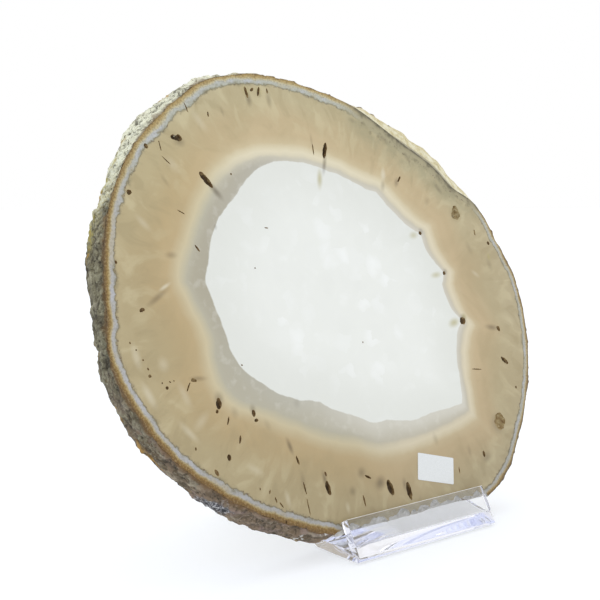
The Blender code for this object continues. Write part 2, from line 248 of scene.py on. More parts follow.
def turn_curve(tree, turn, points):
    """A smooth closed curve of mm against turn, through (turn, mm, pointed) points."""
    node = add(tree, "FloatCurve", {"Value": turn})
    curve = node.mapping.curves[0]
    closed = sorted(points) + [(1.0, points[0][1], False)]
    for number, (place, value, pointed) in enumerate(closed):
        if 0 < place < 1:
            point = curve.points.new(place, value / 100)
            point.handle_type = "VECTOR" if pointed else "AUTO"
        else:
            curve.points[min(number, len(curve.points) - 1)].location = (place, value / 100)
    node.mapping.update()
    return maths(tree, "MULTIPLY", node.outputs["Value"], 100.0)


def every_ten_degrees(values):
    return [(number / 36, value, False) for number, value in enumerate(values)]


def face_coordinates(tree, *wanted):
    """The wanted ones of the place in mm from the face's middle, the same place pressed flat on the
    face, its parts across, into and up, its radius, and its turn from 0 to 1."""
    world = add(tree, "TexCoord").outputs["Object"]
    place = add(tree, "Mapping", {"Vector": world, "Location": FACE_MIDDLE,
                                  "Rotation": (-SLICE_LEAN, 0, 0), "Scale": (MM, MM, MM)},
                vector_type="TEXTURE").outputs["Vector"]
    parts = add(tree, "SeparateXYZ", {0: place}).outputs
    across, into, up = parts["X"], parts["Y"], parts["Z"]
    flat = add(tree, "CombineXYZ", {"X": across, "Z": up}).outputs[0]
    radius = add(tree, "VectorMath", {0: flat}, operation="LENGTH").outputs["Value"]
    angle = maths(tree, "ARCTAN2", up, across)
    turn = maths(tree, "WRAP", maths(tree, "DIVIDE", angle, math.tau), 1.0, 0.0)
    found = {"place": place, "flat": flat, "across": across, "into": into, "up": up,
             "radius": radius, "turn": turn}
    return [found[name] for name in wanted]


def soft_marks(tree, flat, marks):
    """How strongly any of these soft oval marks shows."""
    strongest = 0.0
    # A mark has faded out at this share of its width and height from its middle.
    share = 0.625
    for x, z, width, tall, lean, strength in marks:
        oval = add(tree, "Mapping", {"Vector": flat, "Location": (x, 0, z),
                                     "Rotation": (0, -math.radians(lean), 0),
                                     "Scale": (width * share, 1, tall * share)},
                   vector_type="TEXTURE").outputs["Vector"]
        fall = add(tree, "TexGradient", {"Vector": oval}, gradient_type="SPHERICAL").outputs["Fac"]
        strongest = maths(tree, "MAXIMUM", fade(tree, fall, 0.0, 1.0, 0.0, strength), strongest)
    return strongest


def banded_agate(name, polish, marked):
    """The sawn stone: bands from the rust edge to the quartz, with plumes, marks and mottling."""
    material, tree, shader = new_material(name)
    flat, across, up, radius, turn = face_coordinates(
        tree, "flat", "across", "up", "radius", "turn")

    # Distance in from the face's edge. The lines there lie further in along the flake, crowd on the
    # right, and get wavier towards their inner side.
    edge = turn_curve(tree, turn, every_ten_degrees(FACE_EDGE))
    shift = maths(tree, "MULTIPLY", fade(tree, turn, 22 / 360, 32 / 360),
                  fade(tree, turn, 80 / 360, 50 / 360))
    flaked = maths(tree, "MULTIPLY", fade(tree, turn, 0.045, 0.066), fade(tree, turn, 0.226, 0.19))
    inward = maths(tree, "SUBTRACT", edge, radius)
    inward = maths(tree, "SUBTRACT", inward, maths(tree, "MULTIPLY", shift, 4.2))
    right = fade(tree, across, 20.0, 70.0)
    inward = maths(tree, "MULTIPLY", inward, fade(tree, right, 0.0, 1.0, 1.0, 1.25))
    waves = maths(tree, "MULTIPLY_ADD", noise(tree, flat, 0.16, 1.0), 2.6, -1.3)
    teeth = maths(tree, "MULTIPLY_ADD", noise(tree, flat, 0.62, 3.0, 0.6, 0.4), 2.2, -1.1)
    teeth = maths(tree, "MULTIPLY", teeth, fade(tree, inward, 1.2, 3.4, 0.25, 1.0))
    waves = maths(tree, "ADD", waves, teeth)
    waves = maths(tree, "MULTIPLY", waves, fade(tree, inward, 0.0, 3.0, 0.55, 0.9))
    inward = maths(tree, "ADD", inward, waves)

    # Distance out from the quartz, and out from the grey ring round it.
    wobble = maths(tree, "MULTIPLY_ADD", noise(tree, flat, 0.22, 3.0), 1.4, -0.7)
    scallops = [(d / 360, r, pointed) for d, r, pointed in QUARTZ_EDGE]
    outward = maths(tree, "SUBTRACT", radius, turn_curve(tree, turn, scallops))
    outward = maths(tree, "ADD", outward, wobble)
    ring = maths(tree, "SUBTRACT", outward, turn_curve(tree, turn, every_ten_degrees(GREY_RING)))

    # Chalcedony: cream by the grey ring, then amber, then tan.
    drift = maths(tree, "MULTIPLY_ADD", noise(tree, flat, 0.06, 3.0), 7.0, -3.5)
    far = maths(tree, "ADD", ring, maths(tree, "MULTIPLY", fade(tree, ring, 2.0, 14.0), drift))
    far = maths(tree, "DIVIDE", far, 30.0)
    strong = ramp(tree, far, (
        (0.00, tone(196, 190, 173)), (0.04, tone(212, 203, 179)), (0.08, tone(219, 209, 183)),
        (0.13, tone(210, 198, 168)), (0.18, tone(199, 182, 147)), (0.28, tone(194, 174, 137)),
        (0.46, tone(189, 170, 133)), (0.70, tone(184, 171, 136)), (1.0, tone(183, 171, 138)),
    ))
    weak = ramp(tree, far, (
        (0.00, tone(182, 178, 160)), (0.05, tone(192, 185, 160)), (0.11, tone(203, 191, 158)),
        (0.17, tone(195, 179, 143)), (0.24, tone(189, 168, 127)), (0.36, tone(184, 163, 121)),
        (0.52, tone(181, 163, 123)), (0.70, tone(181, 166, 128)), (1.0, tone(182, 168, 131)),
    ))
    lower_left = maths(tree, "MULTIPLY", fade(tree, turn, 0.33, 0.42), fade(tree, turn, 0.80, 0.70))
    stone = mix(tree, lower_left, strong, weak)

    # Growth lines, broad clouds, fine fibres, and pale plumes that point in from the edge.
    outer = fade(tree, ring, 3.0, 10.0)
    lines = maths(tree, "SINE", maths(tree, "MULTIPLY", maths(tree, "ADD", ring, drift), 1.1))
    lines = maths(tree, "MULTIPLY", maths(tree, "MULTIPLY_ADD", lines, 0.03, 0.03), outer)
    stone = mix(tree, lines, stone, tone(158, 136, 98))
    clouds = fade(tree, noise(tree, flat, 0.05, 4.0, 0.6, 0.8), 0.38, 0.68)
    stone = mix(tree, maths(tree, "MULTIPLY", maths(tree, "MULTIPLY", clouds, outer), 0.45),
                stone, tone(168, 152, 114))
    spokes = add(tree, "CombineXYZ", {"X": maths(tree, "MULTIPLY", turn, 42.0),
                                      "Y": maths(tree, "MULTIPLY", radius, 0.05)}).outputs[0]
    near_edge = fade(tree, inward, 26.0, 8.0)
    folds = noise(tree, spokes, 1.7, 4.0, 0.5, 0.7)
    plumes = maths(tree, "MULTIPLY", fade(tree, folds, 0.5, 0.66), near_edge)
    stone = mix(tree, maths(tree, "MULTIPLY", plumes, 0.42), stone, tone(204, 193, 157))
    troughs = maths(tree, "MULTIPLY", fade(tree, folds, 0.46, 0.34), near_edge)
    stone = mix(tree, maths(tree, "MULTIPLY", troughs, 0.4), stone, tone(158, 143, 106))

    # Olive staining and dark spots along the flake, and grit near the edge.
    olive = maths(tree, "MULTIPLY", flaked, fade(tree, inward, 15.0, 3.0))
    patches = noise(tree, flat, 0.16, 4.0, 0.6)
    olive = maths(tree, "MULTIPLY", olive, fade(tree, patches, 0.36, 0.60, 0.35, 0.9))
    stone = mix(tree, olive, stone, tone(152, 145, 114))
    spots = fade(tree, noise(tree, flat, 0.34, 4.0, 0.65), 0.56, 0.66)
    spots = maths(tree, "MULTIPLY", spots, flaked)
    spots = maths(tree, "MULTIPLY", spots, fade(tree, inward, 9.0, 2.0))
    stone = mix(tree, maths(tree, "MULTIPLY", spots, 0.75), stone, tone(104, 96, 70))
    grit = fade(tree, noise(tree, flat, 2.4, 3.0, 0.6), 0.66, 0.74)
    grit = maths(tree, "MULTIPLY", grit, fade(tree, inward, 12.0, 4.0))
    stone = mix(tree, maths(tree, "MULTIPLY", grit, 0.5), stone, tone(132, 112, 76))

    # The lines along the edge: dull at the lower left, brighter at the top and right. Along the
    # flake they are broken, smudged and cut off by a dark seam.
    across_rim = maths(tree, "DIVIDE", inward, 6.0)
    dull = ramp(tree, across_rim, (
        (0.0, tone(78, 58, 30)), (0.06, tone(98, 74, 34)), (0.14, tone(122, 95, 40)),
        (0.22, tone(146, 118, 56)), (0.30, tone(176, 158, 112)), (0.36, tone(180, 174, 158)),
        (0.41, tone(174, 173, 170)), (0.50, tone(176, 176, 176)), (0.56, tone(160, 159, 150)),
        (0.60, tone(122, 113, 88)), (0.65, tone(160, 147, 114)), (0.73, tone(178, 165, 130)),
    ))
    bright = ramp(tree, across_rim, (
        (0.0, tone(120, 96, 52)), (0.05, tone(146, 120, 68)), (0.12, tone(164, 138, 84)),
        (0.20, tone(176, 154, 104)), (0.27, tone(188, 176, 140)), (0.34, tone(182, 178, 160)),
        (0.41, tone(176, 177, 168)), (0.51, tone(176, 177, 166)), (0.575, tone(158, 156, 140)),
        (0.615, tone(128, 122, 98)), (0.67, tone(166, 154, 124)), (0.75, tone(184, 172, 138)),
    ))
    brighter = maths(tree, "ADD", fade(tree, turn, 0.46, 0.38), fade(tree, turn, 0.82, 0.92))
    rim = mix(tree, brighter, dull, bright)
    stretch = noise(tree, flat, 0.12, 2.0)
    banded = maths(tree, "MULTIPLY", fade(tree, inward, 1.8, 2.4), fade(tree, inward, 3.6, 3.0))
    rim = mix(tree, maths(tree, "MULTIPLY", banded, fade(tree, stretch, 0.5, 0.62, 0.0, 0.5)),
              rim, tone(184, 187, 198))
    rim = mix(tree, maths(tree, "MULTIPLY", banded, fade(tree, stretch, 0.44, 0.34, 0.0, 0.55)),
              rim, tone(182, 170, 140))
    gold = maths(tree, "MULTIPLY", fade(tree, turn, 0.52, 0.60), fade(tree, turn, 0.76, 0.70))
    gold = maths(tree, "MULTIPLY", gold, fade(tree, inward, 1.9, 0.8))
    rim = mix(tree, maths(tree, "MULTIPLY", gold, 0.6), rim, tone(136, 100, 30))
    fibres = fade(tree, noise(tree, flat, 1.6, 3.0, 0.65), 0.35, 0.68, -0.16, 0.16)
    fibres = maths(tree, "MULTIPLY", fibres, fade(tree, inward, 4.0, 1.2))
    pale_fibres = maths(tree, "MAXIMUM", maths(tree, "MULTIPLY", fibres, 1.1), 0.0)
    rim = mix(tree, pale_fibres, rim, tone(214, 200, 160))
    dark_fibres = maths(tree, "MAXIMUM", maths(tree, "MULTIPLY", fibres, -2.6), 0.0)
    rim = mix(tree, dark_fibres, rim, tone(72, 52, 28))
    stained = fade(tree, noise(tree, flat, 0.3, 4.0, 0.6), 0.50, 0.64)
    stained = maths(tree, "MULTIPLY", stained, maths(tree, "MULTIPLY", fade(tree, inward, 2.4, 3.3),
                                                     fade(tree, inward, 5.2, 3.7)))
    brown_side = maths(tree, "MULTIPLY", fade(tree, inward, 1.6, 0.5), right)
    rim = mix(tree, maths(tree, "MULTIPLY", brown_side, 0.5), rim, tone(96, 76, 42))
    broken = ramp(tree, across_rim, (
        (0.0, tone(150, 144, 120)), (0.05, tone(112, 106, 84)), (0.13, tone(132, 124, 98)),
        (0.24, tone(150, 141, 112)), (0.42, tone(162, 153, 122)), (0.75, tone(164, 155, 124)),
    ))
    rim = mix(tree, flaked, rim, broken)
    smudges = maths(tree, "MULTIPLY", fade(tree, noise(tree, flat, 0.2, 3.0), 0.5, 0.66), flaked)
    smudges = maths(tree, "MULTIPLY", smudges, fade(tree, inward, 5.0, 0.5))
    rim = mix(tree, maths(tree, "MULTIPLY", smudges, 0.85), rim, tone(84, 78, 54))
    seam = maths(tree, "MULTIPLY", flaked, fade(tree, inward, 1.5, 0.7))
    seam = maths(tree, "MULTIPLY", seam, fade(tree, noise(tree, flat, 0.45, 3.0), 0.38, 0.58))
    rim = mix(tree, maths(tree, "MULTIPLY", seam, 0.7), rim, tone(74, 70, 52))
    dots = fade(tree, noise(tree, flat, 1.2, 2.0), 0.60, 0.66)
    dots = maths(tree, "MULTIPLY", dots, maths(tree, "MULTIPLY", fade(tree, inward, 3.2, 3.6),
                                               fade(tree, inward, 4.4, 3.9)))
    colour = mix(tree, fade(tree, inward, 3.6, 4.6), rim, stone)
    colour = mix(tree, maths(tree, "MULTIPLY", dots, 0.7), colour, tone(92, 60, 48))
    colour = mix(tree, maths(tree, "MULTIPLY", stained, 0.5), colour, tone(112, 104, 74))

    # Lighter towards the top of the slice, darker towards its foot.
    height = maths(tree, "MULTIPLY_ADD", up, 1 / 150, 0.5)
    light = ramp(tree, height, (
        (0.0, (0.86, 0.84, 0.80, 1)), (0.06, (0.80, 0.79, 0.77, 1)),
        (0.3, (0.93, 0.92, 0.90, 1)), (0.55, (0.95, 0.94, 0.92, 1)),
        (0.8, (1.00, 1.01, 0.99, 1)), (1.0, (1.02, 1.04, 1.03, 1)),
    ))
    colour = mix(tree, 1.0, colour, light, "MULTIPLY")

    # The grey ring, then the milky quartz with its crystal clouds.
    grey = ramp(tree, turn, (
        (0.0, tone(205, 200, 188)), (0.27, tone(202, 198, 186)), (0.34, tone(177, 173, 159)),
        (0.48, tone(167, 161, 142)), (0.62, tone(178, 175, 161)), (0.74, tone(200, 197, 185)),
        (0.86, tone(204, 201, 189)), (1.0, tone(205, 200, 188)),
    ))
    grey = mix(tree, fade(tree, outward, 0.0, 6.0, 0.0, 0.55), grey, tone(174, 168, 148))
    haze = fade(tree, noise(tree, flat, 0.3, 3.0), 0.5, 0.7, 0.0, 0.25)
    grey = mix(tree, haze, grey, tone(214, 212, 202))
    grey = mix(tree, fade(tree, ring, -2.2, 1.2), grey, colour)
    crystals = add(tree, "TexVoronoi", {"Vector": flat, "Scale": 0.11, "Smoothness": 0.6,
                                        "Detail": 2.0, "Roughness": 0.6},
                   feature="SMOOTH_F1").outputs["Distance"]
    veils = noise(tree, flat, 0.075, 5.0, 0.6, 1.6)
    quartz = mix(tree, fade(tree, crystals, 0.1, 0.8), tone(239, 241, 238), tone(230, 232, 227))
    quartz = mix(tree, fade(tree, veils, 0.38, 0.62, 0.0, 0.7), quartz, tone(229, 231, 226))
    # Crystal facets in the quartz, some painted lighter and some darker: painted light and shade on
    # the facets.
    bent = add(tree, "TexNoise", {"Vector": flat, "Scale": 0.16, "Detail": 3.0}).outputs["Color"]
    bent = add(tree, "VectorMath", {0: bent, "Scale": 9.0}, operation="SCALE").outputs["Vector"]
    bent = add(tree, "VectorMath", {0: flat, 1: bent}, operation="ADD").outputs["Vector"]
    facets = add(tree, "TexVoronoi", {"Vector": bent, "Scale": 0.17}).outputs
    facet = add(tree, "SeparateColor", {0: facets["Color"]}).outputs
    soft = fade(tree, facets["Distance"], 0.95, 0.0)
    lit = maths(tree, "MULTIPLY", fade(tree, facet["Red"], 0.6, 0.95), soft)
    dim = maths(tree, "MULTIPLY", fade(tree, facet["Green"], 0.6, 0.95), soft)
    quartz = mix(tree, maths(tree, "MULTIPLY", lit, 0.6), quartz, tone(242, 244, 243))
    quartz = mix(tree, maths(tree, "MULTIPLY", dim, 0.7), quartz, tone(227, 229, 224))
    quartz = mix(tree, fade(tree, outward, -22.0, 0.0, 0.0, 0.55), quartz, tone(213, 215, 208))
    colour = mix(tree, fade(tree, outward, -0.25, 0.25), quartz, grey)

    if marked:
        colour = mix(tree, soft_marks(tree, flat, VEILS), colour, tone(218, 212, 190))
        colour = mix(tree, soft_marks(tree, flat, STAINS), colour, tone(168, 158, 92))
        # Painted shadow of the pits and cracks inside the stone, and dark streaks.
        colour = mix(tree, soft_marks(tree, flat, SHADOWS_AND_STREAKS), colour, tone(80, 66, 44))

    tree.links.new(colour, shader.inputs["Base Color"])
    smears = noise(tree, flat, 0.08, 4.0, 0.6)
    tree.links.new(fade(tree, smears, 0.3, 0.7, *polish), shader.inputs["Roughness"])
    shader.inputs["IOR"].default_value = 1.54
    raise_grain(tree, shader, noise(tree, flat, 0.9, 3.0, 0.5), 0.12, 0.00004)
    return material


def rough_crust():
    """The nodule's skin: speckled grey-green, brown and ochre, by the way it faces."""
    material, tree, shader = new_material("rough_crust")
    place, into, turn = face_coordinates(tree, "place", "into", "turn")
    ground = ramp(tree, turn, (
        (0.0, tone(140, 122, 90)), (0.2, tone(152, 136, 102)), (0.29, tone(186, 176, 140)),
        (0.33, tone(240, 240, 216)), (0.41, tone(236, 237, 212)), (0.445, tone(190, 184, 146)),
        (0.463, tone(122, 116, 92)), (0.53, tone(108, 105, 84)), (0.58, tone(98, 84, 64)),
        (0.65, tone(118, 102, 84)), (0.71, tone(118, 101, 80)), (1.0, tone(140, 122, 90)),
    ))
    grains = noise(tree, place, 1.0, 5.0, 0.7)
    lumps = noise(tree, place, 0.45, 4.0, 0.65, 0.6)
    blotches = noise(tree, place, 0.2, 4.0, 0.6)
    pale = mix(tree, fade(tree, turn, 0.28, 0.34), tone(184, 168, 140), tone(228, 232, 216))
    pale = mix(tree, fade(tree, turn, 0.43, 0.47), pale, tone(150, 148, 126))
    pale = mix(tree, fade(tree, turn, 0.56, 0.64), pale, tone(168, 150, 132))
    colour = mix(tree, fade(tree, grains, 0.50, 0.62, 0.0, 0.85), ground, pale)
    colour = mix(tree, fade(tree, lumps, 0.54, 0.66, 0.0, 0.5), colour, pale)
    colour = mix(tree, fade(tree, lumps, 0.47, 0.36, 0.0, 0.7), colour, tone(74, 68, 50))
    colour = mix(tree, fade(tree, grains, 0.45, 0.36, 0.0, 0.9), colour, tone(50, 44, 33))
    colour = mix(tree, fade(tree, blotches, 0.56, 0.68, 0.0, 0.4), colour, tone(96, 92, 70))

    # Brown plates with dark gaps at the lower left, then olive, mauve and ochre patches.
    bent = add(tree, "TexNoise", {"Vector": place, "Scale": 0.5, "Detail": 3.0}).outputs["Color"]
    bent = add(tree, "VectorMath", {0: bent, "Scale": 3.4}, operation="SCALE").outputs["Vector"]
    bent = add(tree, "VectorMath", {0: place, 1: bent}, operation="ADD").outputs["Vector"]
    layout = {"Vector": bent, "Scale": 0.24}
    plate = add(tree, "TexVoronoi", layout).outputs["Color"]
    plate = add(tree, "SeparateColor", {0: plate}).outputs["Red"]
    gaps = add(tree, "TexVoronoi", layout, feature="DISTANCE_TO_EDGE").outputs["Distance"]
    low = maths(tree, "MULTIPLY", fade(tree, turn, 0.50, 0.60), fade(tree, turn, 0.80, 0.72))
    low = maths(tree, "MULTIPLY", low, fade(tree, plate, 0.2, 0.9, 0.15, 0.75))
    browns = mix(tree, fade(tree, plate, 0.4, 0.8), tone(98, 82, 60), tone(126, 108, 88))
    colour = mix(tree, low, colour, browns)
    below = fade(tree, turn, 0.43, 0.47, 0.4, 1.0)
    shaded = maths(tree, "MULTIPLY", fade(tree, plate, 0.35, 0.05, 0.0, 0.4), below)
    colour = mix(tree, shaded, colour, tone(70, 62, 46))
    cracked = maths(tree, "MULTIPLY", below, fade(tree, lumps, 0.58, 0.44, 0.15, 1.0))
    cracked = maths(tree, "MULTIPLY", fade(tree, gaps, 0.07, 0.01, 0.0, 0.75), cracked)
    colour = mix(tree, cracked, colour, tone(42, 36, 26))
    olive = maths(tree, "MULTIPLY", fade(tree, turn, 0.385, 0.42), fade(tree, turn, 0.475, 0.455))
    olive = maths(tree, "MULTIPLY", olive, fade(tree, into, 5.0, 8.5))
    patches = noise(tree, place, 0.28, 3.0, 0.6)
    olive = maths(tree, "MULTIPLY", olive, fade(tree, patches, 0.44, 0.56))
    colour = mix(tree, maths(tree, "MULTIPLY", olive, 0.75), colour, tone(168, 156, 76))
    mauve = fade(tree, noise(tree, place, 0.17, 3.0), 0.5, 0.62)
    mauve = maths(tree, "MULTIPLY", mauve, fade(tree, turn, 0.5, 0.62))
    colour = mix(tree, maths(tree, "MULTIPLY", mauve, 0.45), colour, tone(150, 130, 124))
    ochre = fade(tree, noise(tree, place, 0.14, 3.0, 0.6), 0.55, 0.64)
    ochre = maths(tree, "MULTIPLY", ochre, fade(tree, into, 6.0, 10.5))
    colour = mix(tree, maths(tree, "MULTIPLY", ochre, 0.75), colour, tone(176, 136, 58))

    # Painted shade in the hollows of the mesh's own grain, and a painted highlight on its heights.
    relief = add(tree, "Attribute", attribute_name="relief").outputs["Fac"]
    colour = mix(tree, fade(tree, relief, 0.0, -0.7, 0.0, 0.7), colour, tone(44, 37, 27))
    colour = mix(tree, fade(tree, relief, 0.2, 0.9, 0.0, 0.3), colour, tone(210, 204, 180))

    # A dark glassy patch at the lower left, its pale specks painted glints, and the rust that comes
    # round from the face's edge.
    patch = add(tree, "Mapping", {"Vector": place, "Location": (-56.5, 7.0, -57.0),
                                  "Scale": (8.0, 5.5, 5.0)}, vector_type="TEXTURE")
    reach = add(tree, "VectorMath", {0: patch.outputs[0]}, operation="LENGTH").outputs["Value"]
    reach = maths(tree, "ADD", reach, maths(tree, "MULTIPLY_ADD", blotches, 1.6, -0.8))
    dark = fade(tree, reach, 1.1, 0.7, 0.0, 0.95)
    # The palest specks in the dark patch are painted glints.
    colour = mix(tree, dark, colour, ramp(tree, grains, (
        (0.44, tone(22, 23, 30)), (0.53, tone(52, 54, 64)), (0.6, tone(190, 190, 192)))))
    rust = fade(tree, maths(tree, "ADD", into, maths(tree, "MULTIPLY", blotches, 1.6)), 2.2, 0.8)
    colour = mix(tree, maths(tree, "MULTIPLY", rust, 0.75), colour, tone(104, 76, 38))
    tree.links.new(colour, shader.inputs["Base Color"])
    tree.links.new(fade(tree, dark, 0.0, 0.8, 0.88, 0.35), shader.inputs["Roughness"])
    raise_grain(tree, shader, grains, 0.8, 0.0003)
    return material


def sawn_foot():
    """The flat that the slice stands on: dull grey saw marks and small chips."""
    material, tree, shader = new_material("sawn_foot")
    place, = face_coordinates(tree, "place")
    chips = noise(tree, place, 0.6, 5.0, 0.65)
    colour = ramp(tree, chips, ((0.3, tone(172, 168, 158)), (0.55, tone(208, 206, 202)),
                                (0.75, tone(226, 226, 226))))
    tree.links.new(colour, shader.inputs["Base Color"])
    shader.inputs["Roughness"].default_value = 0.6
    raise_grain(tree, shader, chips, 0.5, 0.0002)
    return material


def flaked_edge():
    """Pale broken stone where the flake came off, with yellow stains and a dark inner side."""
    material, tree, shader = new_material("flaked_edge")
    place, radius, turn = face_coordinates(tree, "place", "radius", "turn")
    inward = maths(tree, "SUBTRACT", turn_curve(tree, turn, every_ten_degrees(FACE_EDGE)), radius)
    stains = noise(tree, place, 0.35, 4.0, 0.6)
    colour = ramp(tree, stains, ((0.3, tone(232, 227, 200)), (0.5, tone(216, 210, 178)),
                                 (0.62, tone(196, 184, 138)), (0.75, tone(168, 154, 114))))
    colour = mix(tree, fade(tree, inward, 0.9, 0.1, 0.0, 0.6), colour, tone(196, 182, 132))
    colour = mix(tree, fade(tree, inward, 3.0, 4.1, 0.0, 0.85), colour, tone(140, 132, 108))
    tree.links.new(colour, shader.inputs["Base Color"])
    shader.inputs["Roughness"].default_value = 0.45
    raise_grain(tree, shader, stains, 0.4, 0.0002)
    return material


def pit_stain_and_shade():
    """Brown iron stain that lines the pits and cracks, darkened deeper in as painted shade."""
    material, tree, shader = new_material("pit_stain_and_shade")
    place, flat, into = face_coordinates(tree, "place", "flat", "into")
    grains = noise(tree, place, 0.7, 4.0, 0.6)
    colour = ramp(tree, grains, ((0.3, tone(96, 72, 42)), (0.5, tone(134, 108, 68)),
                                 (0.7, tone(176, 154, 108))))
    # Painted shade: the lining darkens the deeper it lies in the stone.
    colour = mix(tree, fade(tree, into, 0.1, 1.5, 0.0, 0.85), colour, tone(62, 45, 27))
    # The two widest pits, on the right, are lined with a paler brown.
    for x, z, reach in ((58.3, 25.5, 4.0), (58.5, -50.0, 4.5)):
        near = add(tree, "VectorMath", {0: flat, 1: (x, 0, z)}, operation="DISTANCE")
        near = near.outputs["Value"]
        shell = ramp(tree, grains, ((0.35, tone(122, 96, 56)), (0.5, tone(160, 140, 98)),
                                    (0.65, tone(186, 172, 134))))
        colour = mix(tree, fade(tree, near, reach + 0.5, reach, 0.0, 0.9), colour, shell)
    tree.links.new(colour, shader.inputs["Base Color"])
    shader.inputs["Roughness"].default_value = 0.7
    return material


def only(thing):
    """Selects this object alone and makes it the active one."""
    bpy.ops.object.select_all(action="DESELECT")
    thing.select_set(True)
    bpy.context.view_layer.objects.active = thing


# The stone starts as a welded copy of the solid.
stone = bpy.data.objects.new("agate_stone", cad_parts["agate_slice"].data.copy())
bpy.context.collection.objects.link(stone)
stone.data.materials.clear()
for surface in (banded_agate("polished_agate", (0.10, 0.20), True), rough_crust(),
                banded_agate("sawn_agate", (0.42, 0.55), False), sawn_foot(), flaked_edge()):
    stone.data.materials.append(surface)
only(stone)
bpy.ops.object.mode_set(mode="EDIT")
bpy.ops.mesh.select_all(action="SELECT")
bpy.ops.mesh.remove_doubles(threshold=1e-6)
bpy.ops.object.mode_set(mode="OBJECT")

# The pits are cut by stretched balls, roughened so that no pit is smooth or even. For each range
# of widths: the size of the roughness and its height.
BALL_RADIUS = 0.53
ROUGHNESS = ((0.0, 1.3, 0.6, 0.3), (1.3, 2.2, 1.1, 0.7), (2.2, 9.0, 1.7, 1.4))
pit_stain_shade = pit_stain_and_shade()
cutters = []
hollows = [*PITS, *((x, -FOOT_DROP, width, tall * 1.3, 0.9, 0) for x, width, tall in NICKS)]
for narrowest, widest, size, strength in ROUGHNESS:
    bpy.ops.object.select_all(action="DESELECT")
    balls = []
    for x, z, width, tall, depth, lean in hollows:
        if not narrowest < width <= widest:
            continue
        place = face_place @ Matrix.Translation((x * MM, 0, z * MM))
        place = place @ Matrix.Rotation(-math.radians(lean), 4, "Y")
        bpy.ops.mesh.primitive_ico_sphere_add(
            subdivisions=4 if width > 1.3 else 3, radius=BALL_RADIUS,
            location=place.to_translation(), rotation=place.to_euler(),
            scale=(width * MM, 2 * depth * MM, tall * MM))
        balls.append(bpy.context.object)
        balls[-1].data.materials.append(pit_stain_shade)
    for ball in balls:
        ball.select_set(True)
    bpy.ops.object.join()
    bpy.ops.object.transform_apply(location=True, rotation=True, scale=True)
    ragged = bpy.data.textures.new("ragged", "CLOUDS")
    ragged.noise_scale = size * MM
    roughen = bpy.context.object.modifiers.new("ragged", "DISPLACE")
    roughen.texture = ragged
    roughen.strength = strength * MM
    roughen.mid_level = 0.45
    bpy.ops.object.modifier_apply(modifier="ragged")
    cutters.append(bpy.context.object)
for cutter in cutters:
    cutter.select_set(True)
bpy.ops.object.join()
cutter = bpy.context.object
only(stone)
cut = stone.modifiers.new("pits", "BOOLEAN")
cut.operation = "DIFFERENCE"
cut.solver = "EXACT"
cut.material_mode = "TRANSFER"
cut.use_self = True
cut.object = cutter
bpy.ops.object.modifier_apply(modifier="pits")
bpy.data.objects.remove(cutter)

# Each face gets the surface of its side of the slice.
to_face = face_place.inverted()
FACE, CRUST, BACK, FOOT, FLAKE = range(5)
for polygon in stone.data.polygons:
    middle = to_face @ polygon.center / MM
    facing = to_face.to_3x3() @ polygon.normal
    if stone.data.materials[polygon.material_index] == pit_stain_shade:
        polygon.material_index = FOOT if middle.z < -FOOT_DROP + 3.5 else polygon.material_index
        continue
    angle = math.degrees(math.atan2(middle.z, middle.x)) % 360
    rim = FACE_EDGE[round(angle / 10) % 36]
    near_foot = middle.z < -FOOT_DROP + 2.2 and abs(middle.x) < 60
    if middle.y < SLACK and facing.y < -0.99:
        polygon.material_index = FACE
    elif middle.y > THICKNESS - SLACK and facing.y > 0.99:
        polygon.material_index = BACK
    elif near_foot and (facing.z < -0.95 or facing.y < -0.5):
        polygon.material_index = FOOT
    elif FLAKE_FROM < angle < FLAKE_TO and middle.y < 1.7 and facing.y < -0.45:
        polygon.material_index = FLAKE
    elif math.hypot(middle.x, middle.z) < rim - 8 and middle.z > -FOOT_DROP + 5:
        polygon.material_index = stone.data.materials.find("pit_stain_and_shade")
    else:
        polygon.material_index = CRUST

# The crust is made finer and its grain is raised, less and less towards the sawn edges.
bpy.ops.object.mode_set(mode="EDIT")
bpy.ops.mesh.select_mode(type="FACE")
bpy.ops.mesh.select_all(action="DESELECT")
bpy.ops.object.mode_set(mode="OBJECT")
for polygon in stone.data.polygons:
    polygon.select = polygon.material_index in (CRUST, FLAKE)
bpy.ops.object.mode_set(mode="EDIT")
bpy.ops.mesh.subdivide(number_cuts=4)
bpy.ops.object.mode_set(mode="OBJECT")
skin = stone.vertex_groups.new(name="crust")
on_crust = {number for polygon in stone.data.polygons
            if polygon.material_index in (CRUST, FLAKE) for number in polygon.vertices}
for number in on_crust:
    spot = to_face @ stone.data.vertices[number].co / MM
    depth = min(spot.y, THICKNESS - spot.y, (spot.z + FOOT_DROP) * 0.6)
    angle = math.degrees(math.atan2(spot.z, spot.x))
    calm = 0.12 if FLAKE_FROM < angle < FLAKE_TO and spot.y < 2.2 else 1.0
    loose = 0.75 if spot.z > -FOOT_DROP + 2 else 0.0
    skin.add([number], calm * min(max(depth / 0.9, loose), 1.0), "REPLACE")
slice_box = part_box("agate_slice")
before = [v.co.copy() for v in stone.data.vertices]
normals = [v.normal.copy() for v in stone.data.vertices]
for name, kind, size, height in (
        ("lumps", "CLOUDS", 6.0, 2.2), ("ledges", "STUCCI", 3.0, 0.8),
        ("grains", "VORONOI", 2.8, -0.7), ("grit", "CLOUDS", 1.0, 0.9)):
    texture = bpy.data.textures.new(name, kind)
    texture.noise_scale = size * MM
    if kind == "CLOUDS":
        texture.noise_depth = 3
    layer = stone.modifiers.new(name, "DISPLACE")
    layer.texture = texture
    layer.vertex_group = "crust"
    layer.strength = height * MM
    layer.mid_level = 0.5
    bpy.ops.object.modifier_apply(modifier=name)
